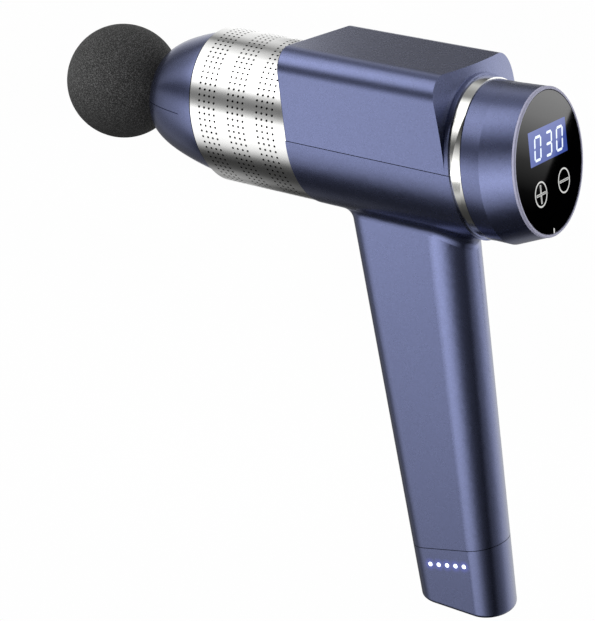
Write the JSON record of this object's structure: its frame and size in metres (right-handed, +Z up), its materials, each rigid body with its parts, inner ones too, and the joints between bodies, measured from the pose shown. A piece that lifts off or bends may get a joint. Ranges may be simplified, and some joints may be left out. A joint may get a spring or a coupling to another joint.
{
  "type": "massage gun",
  "caption": "Handheld percussion massage gun: boxed motor housing, perforated metal sleeve, tubular handle, round touch display and a removable foam ball head",
  "frame": {"origin": "on the stroke axis of the piston, where the slanted front parting plane of the motor housing crosses it", "axes": "+X along the barrel from the head towards the display, +Y across the body, +Z up; the handle runs down and back from the barrel; the piston is drawn at the middle of its stroke"},
  "size_m": [0.2386, 0.0658, 0.2314],
  "materials": {
    "paint": "satin metallic lavender blue",
    "steel": "polished, perforated",
    "silver": "brushed ring",
    "black_plastic": "moulded",
    "glass": "black display window",
    "foam": "charcoal closed-cell foam",
    "rubber": "matt",
    "aluminium": "die cast",
    "bright_steel": "ground",
    "bronze": "sintered",
    "copper": "enamelled wire",
    "board": "solder mask",
    "cell": "shrink sleeve",
    "led": "diffusing"
  },
  "bodies": {
    "root": {"front_cone": "paint", "muzzle_seal": "rubber", "perforated_sleeve": "steel", "sleeve_liner": "black_plastic", "housing_upper": "paint", "housing_lower": "paint", "trim_ring": "silver", "display_cap": "paint", "display_bezel": "paint", "display_glass": "glass", "touch_board": "board", "display_module": "black_plastic", "control_board": "board", "board_components": "black_plastic", "board_screws": "bright_steel", "chassis": "aluminium", "suspension_grommets": "rubber", "suspension_screws": "bright_steel", "front_isolator": "rubber", "guide_bush": "bronze", "wiper_seal": "rubber", "motor_base": "aluminium", "motor_screws": "bright_steel", "motor_bearings": "bright_steel", "stator_core": "bright_steel", "stator_windings": "copper", "battery_cells": "cell", "nickel_strips": "silver", "cell_holders": "black_plastic", "battery_board": "board", "end_cap": "paint", "led_light_pipes": "led", "led_board": "board", "end_cap_screw": "bright_steel", "rocker_body": "black_plastic", "charge_port": "silver"},
    "rotor": {"rotor_bell": "black_plastic", "rotor_magnets": "silver", "motor_shaft": "bright_steel", "crank_disc": "bright_steel"},
    "plunger": {"piston": "bright_steel", "wrist_pin": "bright_steel"},
    "rod": {"connecting_rod": "aluminium", "small_end_bush": "bronze", "big_end_bearing": "bright_steel", "crank_pin": "bright_steel"},
    "head": {"head_stem": "black_plastic", "head_o_ring": "rubber", "head_ball": "foam"},
    "rocker": {"power_rocker": "black_plastic"}
  },
  "joints": [
    {"name": "motor_spin", "type": "hinge", "parent": "root", "child": "rotor", "pos_m": [0.031, 0, 0.02], "axis": [0, 0, 1], "continuous": true},
    {"name": "piston_stroke", "type": "slide", "parent": "root", "child": "plunger", "axis": [1, 0, 0], "range_m": [-0.006, 0.006]},
    {"name": "rod_swing", "type": "hinge", "parent": "plunger", "child": "rod", "pos_m": [-0.01057, 0, 0], "axis": [0, 0, 1], "range_deg": [-16.4, 0]},
    {"name": "head_removal", "type": "slide", "parent": "plunger", "child": "head", "axis": [-1, 0, 0], "range_m": [0, 0.04]},
    {"name": "power_rock", "type": "hinge", "parent": "root", "child": "rocker", "pos_m": [0.076, 0, -0.1896], "axis": [0, 1, 0], "range_deg": [-8, 8]}
  ]
}
